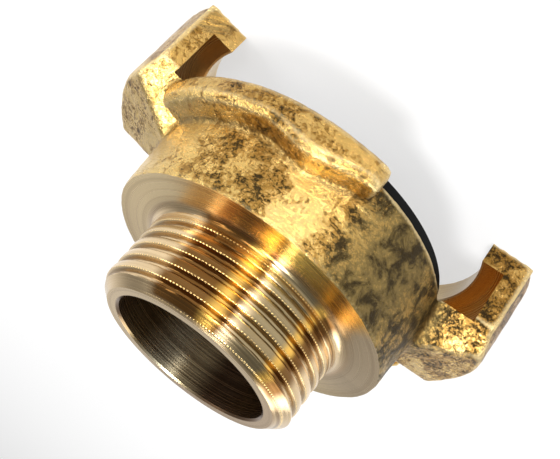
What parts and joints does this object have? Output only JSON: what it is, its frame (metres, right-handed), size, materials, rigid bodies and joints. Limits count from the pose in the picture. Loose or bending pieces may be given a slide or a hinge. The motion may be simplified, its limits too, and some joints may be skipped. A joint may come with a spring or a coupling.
{
  "type": "quarter turn claw hose coupling",
  "caption": "Cast brass quarter-turn claw coupling half with hooked claws, ramped lips, a rubber face seal and a male pipe thread.",
  "frame": {"origin": "on the coupling's axis, in the plane of the claws' front faces, which it stands on", "axes": "+Z along the axis, out of the threaded end; +X through the middle of one claw"},
  "size_m": [0.0546, 0.0458, 0.0323],
  "materials": {
    "brass": "cast, with turned faces, bore and thread",
    "seal_rubber": "matte moulded rubber"
  },
  "bodies": {
    "root": {"body": "brass", "seal": "seal_rubber"}
  },
  "joints": []
}
